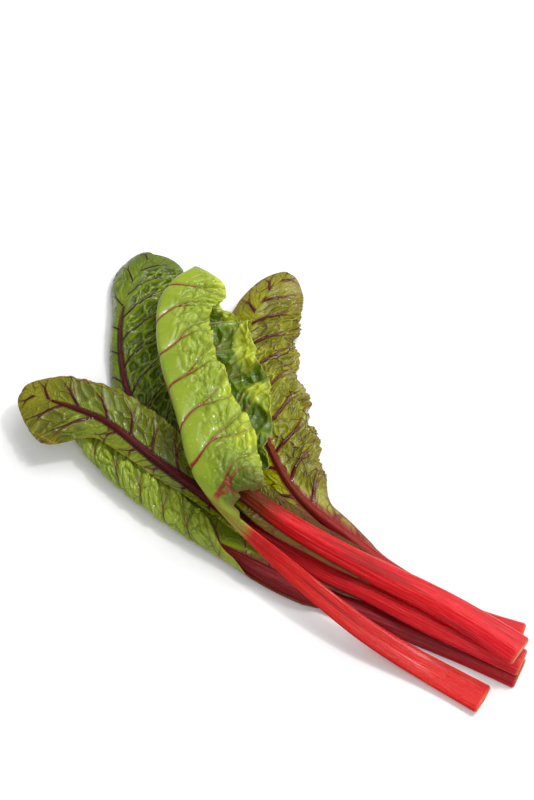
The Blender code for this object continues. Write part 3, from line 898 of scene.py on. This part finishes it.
def stalk_rings(leaf, along):
    """Rings of points round a stalk, ribbed and with a shallow channel, and their facts."""
    seed = leaf.shape.wave_seed
    point, forward, side, out = leaf.at(along)
    width, height = leaf.stalk_size(along)
    turn = 2 * math.pi * np.arange(STALK_SIDES) / STALK_SIDES
    across = np.cos(turn)
    upper = UPPER_SHARE * np.sin(turn) * (1 - CHANNEL_DEPTH * (1 - np.abs(across)))
    lower = LOWER_SHARE * np.sin(turn) * (1 + RIB_DEPTH * np.cos(RIB_COUNT * turn))
    rise = np.where(np.sin(turn) > 0, upper, lower)
    grain = joined(across * GRAIN_ROUND, np.sin(turn) * GRAIN_ROUND,
                   along[:, None] / GRAIN_LENGTH + seed * GRAIN_SEED_STEP)
    ridges = soft_noise(grain.reshape(-1, 3)).reshape(grain.shape[:2])
    fine_ridges = soft_noise((grain * FINER_GRAIN).reshape(-1, 3)).reshape(grain.shape[:2])
    swell = 1 + RIDGE_HEIGHT * ridges + FINE_RIDGE_HEIGHT * fine_ridges
    from_cut = np.clip(along / CUT_ROUNDING, 0, 1)[:, None]
    rounding = 1 - CUT_NARROWING * (1 - np.sqrt(1 - (1 - from_cut) ** 2))
    uneven = 1 + UNEVEN_WIDTH * soft_noise(joined(along / UNEVEN_LENGTH, seed, 0.0))
    across = across * (width / 2 * uneven)[:, None]
    across = across * (1 + RIDGES_SIDEWAYS * (swell - 1)) * rounding
    rise = rise * height[:, None] * swell * rounding
    rings = point[:, None] + side[:, None] * across[..., None] + out[:, None] * rise[..., None]
    facts = {
        "along": np.broadcast_to(along[:, None], ridges.shape),
        "place": np.broadcast_to(leaf.blade_place(along)[:, None], ridges.shape),
        "round": joined(np.cos(turn), np.sin(turn), along[:, None] * STREAK_PER_MM),
        "ridge": ridges,
        "cut": np.zeros(ridges.shape)}
    return rings, forward, facts


def cut_facts(facts, size):
    """The facts of one ring of the cut face."""
    rows = {key: value[0].reshape(STALK_SIDES, -1) for key, value in facts.items()}
    rows["cut"] = np.ones((STALK_SIDES, 1))
    rows["round"] = rows["round"] * [size, size, 1]
    return rows


def stalk_mesh(leaf):
    """Corner points, faces and facts of a stalk, with a cut face that is sunken a little."""
    end = leaf.blade_start + leaf.shape.midrib_ends_at * RIB_TIP_SHARE * leaf.span
    ring_count = int(end / RING_STEP)
    rings, forward, facts = stalk_rings(leaf, np.linspace(0, end, ring_count + 1))
    number = np.arange((ring_count + 1) * STALK_SIDES).reshape(-1, STALK_SIDES)
    beside = np.roll(number, -1, axis=1)
    quads = [np.stack([number[:-1], number[1:], beside[1:], beside[:-1]], -1).reshape(-1, 4)]
    points = [rings.reshape(-1, 3)]
    rows = {key: [value.reshape(number.size, -1)] for key, value in facts.items()}
    previous = number[0]
    middle = rings[0].mean(axis=0)
    for k, size in enumerate(CUT_RINGS):
        sunk = CUT_DEPTH * (1 - size ** 2) - CUT_BEVEL * (k == 0)
        points.append(middle + (rings[0] - middle) * size + forward[0] * sunk)
        ring = number.size + k * STALK_SIDES + np.arange(STALK_SIDES)
        quads.append(np.stack([previous, np.roll(previous, -1), np.roll(ring, -1), ring], -1))
        previous = ring
        for key, row in cut_facts(facts, size).items():
            rows[key].append(row)
    points = np.concatenate(points)
    points[:, 2] = np.maximum(points[:, 2], 0.0)
    facts = {key: np.concatenate(value) for key, value in rows.items()}
    caps = [tuple(previous), tuple(number[-1][::-1])]
    return points, np.concatenate(quads), facts, caps


def linear_colour(colour):
    """An 8-bit display colour as the linear values that a material takes."""
    return tuple((value / 255) ** 2.2 for value in colour) + (1.0,)


# A darker copy of a colour, for painted shade and for the darker clouds of a stalk
def darker(colour):
    return tuple(int(value * DARKENED_BRIGHTNESS) for value in colour)


class Graph:
    """A material whose pattern comes from texture and arithmetic nodes."""

    def __init__(self, name):
        self.material = bpy.data.materials.new(name)
        self.material.use_nodes = True
        self.tree = self.material.node_tree
        self.shader = self.tree.nodes["Principled BSDF"]

    def feed(self, socket, value):
        if isinstance(value, bpy.types.NodeSocket):
            self.tree.links.new(value, socket)
        else:
            socket.default_value = value

    def node(self, kind, sockets, output=0, **settings):
        node = self.tree.nodes.new(kind)
        for key, value in settings.items():
            setattr(node, key, value)
        for key, value in sockets.items():
            self.feed(node.inputs[key], value)
        return node.outputs[output]

    def attribute(self, name, output="Fac"):
        return self.node("ShaderNodeAttribute", {}, output, attribute_name=name)

    def math(self, operation, a, b=0.0, c=0.0):
        return self.node("ShaderNodeMath", {0: a, 1: b, 2: c}, operation=operation)

    def times(self, a, b):
        return self.math("MULTIPLY", a, b)

    def line(self, value, slope, start):
        """The start plus the slope times the value."""
        return self.math("MULTIPLY_ADD", value, slope, start)

    def but(self, value):
        """What the value lacks to 1."""
        return self.math("SUBTRACT", 1.0, value)

    def step(self, value, low, high):
        """0 up to low, 1 from high on, and smooth between them."""
        sockets = {"Value": value, "From Min": low, "From Max": high}
        return self.node("ShaderNodeMapRange", sockets, "Result",
                         interpolation_type="SMOOTHSTEP")

    def mix(self, factor, a, b):
        colours = [linear_colour(c) if isinstance(c, tuple) else c for c in (a, b)]
        return self.node("ShaderNodeMix", {0: factor, 6: colours[0], 7: colours[1]}, 2,
                         data_type="RGBA")

    def scaled(self, vector, factors):
        return self.node("ShaderNodeVectorMath", {0: vector, 1: factors}, operation="MULTIPLY")

    def noise(self, vector, scale, detail=2.0):
        sockets = {"Vector": vector, "Scale": scale, "Detail": detail}
        return self.node("ShaderNodeTexNoise", sockets, 0)

    def cell_edge(self, vector, scale):
        sockets = {"Vector": vector, "Scale": scale}
        return self.node("ShaderNodeTexVoronoi", sockets, "Distance",
                         voronoi_dimensions="2D", feature="DISTANCE_TO_EDGE")

    def position(self):
        return self.node("ShaderNodeTexCoord", {}, "Object")

    def finish(self, colour, roughness, height, bump, **constants):
        self.feed(self.shader.inputs["Base Color"], colour)
        self.feed(self.shader.inputs["Roughness"], roughness)
        normal = self.node("ShaderNodeBump", {"Height": height, "Distance": MM, "Strength": bump})
        self.feed(self.shader.inputs["Normal"], normal)
        for key, value in constants.items():
            self.feed(self.shader.inputs[key.replace("_", " ")], value)
        return self.material


class BladeGraph(Graph):
    """Green of two depths, red side veins that fork, a net of small veins, paler margin."""

    def __init__(self, shape):
        super().__init__("leaf_" + shape.name)
        self.shape = shape
        self.share = self.attribute("share")
        self.upper = self.attribute("upper")
        self.place = self.attribute("place")
        self.spot = self.position()
        net = self.attribute("net", "Vector")
        self.cells = self.cell_edge(net, 1.0)
        self.fine_cells = self.cell_edge(net, BLISTER_SIZE / PUCKER_SIZE)
        self.cloud = self.step(self.noise(self.spot, CLOUDS), 0.38, 0.66)
        self.mottle = self.step(self.noise(self.spot, MOTTLES, 3.0), 0.35, 0.7)

    def flesh(self):
        """Clouded and mottled green, with a paler margin and tip."""
        shape = self.shape
        face = self.mix(self.upper, shape.under, shape.upper)
        depth = self.line(self.cloud, 0.45, self.times(self.mottle, 0.25))
        colour = self.mix(depth, face, shape.shade)
        edge = self.line(self.math("SUBTRACT", self.cloud, 0.5), 0.25, self.share)
        pale_from = self.line(self.upper, PALE_UPPER_FROM - shape.pale_under, shape.pale_under)
        pale = self.times(self.step(edge, pale_from, PALE_UP_TO), 0.85)
        colour = self.mix(pale, colour, shape.margin)
        tip = self.times(self.step(self.place, *TIP_PLACES), shape.tip_tint)
        return self.mix(tip, colour, shape.margin)

    def shade_hollows(self, colour):
        """Painted shade: the hollows of the relief are darker than the tops of the blisters,
        whichever side is seen, and the outer blade near the base is darker too.
        """
        shape = self.shape
        painted_shade_colour = darker(shape.shade)
        # Painted shade in the hollows of the relief, on the side that is seen
        detail = self.times(self.attribute("detail"), self.line(self.upper, 2.0, -1.0))
        hollow_shade = self.times(self.but(self.step(detail, -0.9, 0.5)), shape.hollow_shade)
        colour = self.mix(hollow_shade, colour, painted_shade_colour)
        # Painted shade on the outer blade near its base
        lobe_shade_mask = self.times(self.but(self.step(self.place, *LOBE_SHADE_PLACES)),
                          self.step(self.share, *LOBE_SHADE_SHARES))
        return self.mix(self.times(lobe_shade_mask, shape.painted_lobe_shade), colour, painted_shade_colour)

    def small_veins(self, colour):
        """The net of small veins between the side veins, and pale specks."""
        shape = self.shape
        patchy = self.step(self.noise(self.spot, PATCHES), 0.3, 0.62)
        lines = self.but(self.step(self.cells, 0.02, 0.085))
        lines = self.times(lines, self.times(patchy, shape.net_strength))
        fine_lines = self.but(self.step(self.fine_cells, 0.0, 0.12))
        fine_lines = self.times(fine_lines, 0.35 * shape.net_strength)
        colour = self.mix(self.math("MAXIMUM", lines, fine_lines), colour, shape.net)
        sockets = {"Vector": self.spot, "Scale": SPECKS}
        from_speck = self.node("ShaderNodeTexVoronoi", sockets, "Distance")
        speck = self.times(self.but(self.step(from_speck, 0.07, 0.17)), shape.specks)
        return self.mix(speck, colour, SPECK_COLOUR)

    def side_veins(self, colour):
        """Side veins with a fork on the way to the margin, as in the relief."""
        shape = self.shape
        vein = self.math("FRACT", self.math("ADD", self.attribute("vein"), 0.5))
        offset = self.math("ABSOLUTE", self.math("SUBTRACT", vein, 0.5))
        fork = self.times(self.math("SUBTRACT", self.share, FORK_STARTS_AT), FORK_SPREAD)
        fork = self.math("MINIMUM", self.math("MAXIMUM", fork, 0.0), WIDEST_FORK)
        side = self.math("ABSOLUTE", self.math("SUBTRACT", offset, fork))
        side = self.times(side, shape.vein_spacing * VEIN_SQUEEZE)
        narrowing = -VEIN_NARROWING * shape.vein_width
        half_width = self.line(self.share, narrowing, VEIN_AT_RIB * shape.vein_width)
        thicker = self.line(self.step(self.place, *THICK_VEIN_PLACES),
                            -VEIN_THICKER_AT_BASE, 1 + VEIN_THICKER_AT_BASE)
        half_width = self.math("MAXIMUM", self.times(half_width, thicker), SLIMMEST_VEIN)
        on_vein = self.but(self.step(side, self.times(half_width, 0.45), half_width))
        faded = self.but(self.times(self.step(self.share, *VEIN_FADE_SHARES), 0.6))
        on_vein = self.times(on_vein, faded)
        beside = self.times(self.but(self.step(side, half_width, BESIDE_VEIN)), 0.18)
        colour = self.mix(beside, colour, shape.net)
        return self.mix(on_vein, colour, shape.vein), on_vein

    def near_stalk(self, colour):
        """The midrib's colour beside it, more of it at the base, and a red lip there."""
        shape = self.shape
        base = self.but(self.step(self.place, *BASE_PLACES))
        reach = self.line(base, shape.base_reach, 1.6)
        near_rib = self.but(self.step(self.attribute("from_rib"), 0.3, reach))
        at_midrib = self.step(self.place, *shape.base_band)
        rib_colour = self.mix(at_midrib, shape.base_colour, shape.midrib_colour)
        before_tip = self.step(self.place, shape.midrib_ends_at + 0.02, shape.midrib_ends_at - 0.08)
        near_rib = self.times(near_rib, self.times(before_tip, 0.85))
        colour = self.mix(near_rib, colour, rib_colour)
        lip = self.times(self.but(self.step(self.place, *LIP_PLACES)),
                         self.step(self.share, *LIP_SHARES))
        return self.mix(self.times(lip, shape.lip), colour, LIP_COLOUR)

    def height(self, on_vein, beyond_base):
        """Small bumps, fainter where the blade is calm and at its base."""
        calm = self.shape.calm
        bumps = self.times(self.step(self.fine_cells, 0.0, 0.35), 0.4)
        bumps = self.line(self.noise(self.spot, BUMPS), 0.7, bumps)
        lively = self.line(self.step(self.share, calm, calm + CALM_FADE), 0.85, 0.15)
        lively = self.times(lively, self.line(beyond_base, 0.8, 0.2))
        height = self.times(bumps, lively)
        height = self.line(self.noise(self.spot, GRAINS, 3.0), 0.12, height)
        return self.line(on_vein, -0.25, height)


def blade_material(shape):
    g = BladeGraph(shape)
    colour, on_vein = g.side_veins(g.small_veins(g.shade_hollows(g.flesh())))
    colour = g.near_stalk(colour)
    # The wings at the base are smoother and less glossy than the rest
    beyond_base = g.step(g.place, *GLOSS_PLACES)
    roughness = g.line(g.mottle, 0.14, g.line(beyond_base, -0.25, 0.45))
    coat = g.line(beyond_base, 0.22, 0.01)
    return g.finish(colour, roughness, g.height(on_vein, beyond_base), 0.8,
                    Coat_Weight=coat, Coat_Roughness=0.04, Specular_IOR_Level=0.3)


def stalk_flesh(g, shape, around, streaks, thin_streaks, cloud):
    """Red flesh with lengthwise streaks and painted shade between its ridges, brighter at the cut
    and darker at the midrib.
    """
    place = g.attribute("place")
    along = g.attribute("along")
    dark = darker(shape.petiole_colour)
    colour = g.mix(g.step(along, 0.0, CUT_END_REACH), shape.cut_end, shape.petiole_colour)
    colour = g.mix(g.step(place, *shape.reddens), colour, shape.base_colour)
    at_midrib = g.step(place, *shape.base_band)
    colour = g.mix(at_midrib, colour, shape.midrib_colour)
    streaky = g.line(at_midrib, -0.75, 1.0)
    wide = g.times(g.step(streaks, 0.48, 0.68), g.times(streaky, 0.6))
    colour = g.mix(wide, colour, shape.streak)
    # Painted shade: darker in the grooves between the lengthwise ridges
    painted_groove_shade = g.step(g.attribute("ridge"), 0.02, -0.18)
    colour = g.mix(g.times(painted_groove_shade, 0.6), colour, dark)
    thin = g.times(g.step(thin_streaks, 0.55, 0.75), g.times(streaky, 0.35))
    colour = g.mix(thin, colour, shape.streak)
    colour = g.mix(g.times(g.step(cloud, 0.5, 0.8), 0.2), colour, dark)
    rim = g.but(g.step(along, 0.0, CUT_RIM_WIDTH))
    colour = g.mix(g.times(rim, 0.45), colour, CUT_RIM)
    # The cut face is paler, with the ends of its fibres as darker dots
    pores = g.node("ShaderNodeTexVoronoi", {"Vector": around, "Scale": PORES}, "Distance")
    face = g.mix(g.step(pores, 0.16, 0.3), CUT_PORES, CUT_FLESH)
    return g.mix(g.times(g.attribute("cut"), 0.75), colour, face)


def stalk_material(shape):
    g = Graph("stalk_" + shape.name)
    around = g.attribute("round", "Vector")
    spot = g.position()
    streaks = g.noise(g.scaled(around, STREAKS), 1.0, 3.0)
    thin_streaks = g.noise(g.scaled(around, THIN_STREAKS), 1.0, 2.0)
    cloud = g.noise(spot, STALK_CLOUDS, 3.0)
    colour = stalk_flesh(g, shape, around, streaks, thin_streaks, cloud)
    roughness = g.line(cloud, 0.2, 0.2)
    height = g.line(streaks, 0.9, g.times(thin_streaks, 0.5))
    height = g.line(g.noise(spot, STALK_GRAINS), 0.08, height)
    return g.finish(colour, roughness, height, 0.6, Coat_Weight=0.06, Coat_Roughness=0.12,
                    Specular_IOR_Level=0.2, Subsurface_Weight=0.12, Subsurface_Scale=0.004)


def add_piece(name, points, faces, facts, material):
    """One closed body in metres that stands for the plain node of the same name."""
    points = (points + np.array(CENTRE_SHIFT)) * MM
    mesh = bpy.data.meshes.new("fine_" + name)
    mesh.from_pydata(points.tolist(), [], faces)
    mesh.validate()
    for key, value in facts.items():
        kind, target = ("FLOAT_VECTOR", "vector") if value.shape[1] == 3 else ("FLOAT", "value")
        layer = mesh.attributes.new(key, kind, "POINT")
        layer.data.foreach_set(target, np.ascontiguousarray(value, np.float32).ravel())
    mesh.materials.append(material)
    mesh.shade_smooth()
    piece = bpy.data.objects.new("fine_" + name, mesh)
    bpy.context.scene.collection.objects.link(piece)
    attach(piece, "root")
    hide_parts(name)
    return piece


def add_leaf(shape):
    leaf = Leaf(shape)
    points, faces, facts = blade_mesh(leaf)
    add_piece("blade_" + shape.name, points, faces.tolist(), facts, blade_material(shape))
    points, faces, facts, caps = stalk_mesh(leaf)
    faces = faces.tolist() + [tuple(int(i) for i in cap) for cap in caps]
    add_piece("stalk_" + shape.name, points, faces, facts, stalk_material(shape))


def add_floor():
    """The white sheet that the bunch lies on."""
    mesh = bpy.data.meshes.new("floor")
    half = FLOOR_HALF
    corners = [(-half, -half, 0), (half, -half, 0), (half, half, 0), (-half, half, 0)]
    mesh.from_pydata(corners, [], [(0, 1, 2, 3)])
    g = Graph("floor")
    paper = g.noise(g.position(), 40.0)
    colour = g.mix(paper, (246, 246, 246), (250, 250, 250))
    mesh.materials.append(g.finish(colour, 0.7, paper, 0.02))
    floor = bpy.data.objects.new("floor", mesh)
    bpy.context.scene.collection.objects.link(floor)
    floor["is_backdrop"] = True


def add_light(name, direction, distance, size, watts):
    """A square light that shines at the camera's target."""
    data = bpy.data.lights.new(name, "AREA")
    data.size = size
    data.energy = watts
    light = bpy.data.objects.new(name, data)
    direction = Vector(direction).normalized()
    light.location = CAMERA_TARGET + direction * distance
    light.rotation_euler = (-direction).to_track_quat("-Z", "Y").to_euler()
    bpy.context.scene.collection.objects.link(light)


def add_camera():
    data = bpy.data.cameras.new("camera")
    data.lens = LENS
    camera = bpy.data.objects.new("camera", data)
    camera.location = CAMERA_TARGET + CAMERA_BACK * CAMERA_DISTANCE
    camera.rotation_euler = (-CAMERA_BACK).to_track_quat("-Z", "Y").to_euler()
    bpy.context.scene.collection.objects.link(camera)
    bpy.context.scene.camera = camera


def add_surroundings():
    world = bpy.data.worlds.new("world")
    world.use_nodes = True
    background = world.node_tree.nodes["Background"]
    background.inputs["Color"].default_value = (1.0, 1.0, 1.0, 1.0)
    background.inputs["Strength"].default_value = WORLD_BRIGHTNESS
    bpy.context.scene.world = world
    bpy.context.scene.view_settings.view_transform = "Standard"
    for light in LIGHTS:
        add_light(*light)


def main():
    add_floor()
    add_camera()
    add_surroundings()
    for shape in LEAVES:
        add_leaf(shape)
    boxes = {"plain": plain_box, "detailed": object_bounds()}
    boxes = {key: [list(map(float, corner)) for corner in box] for key, box in boxes.items()}


main()
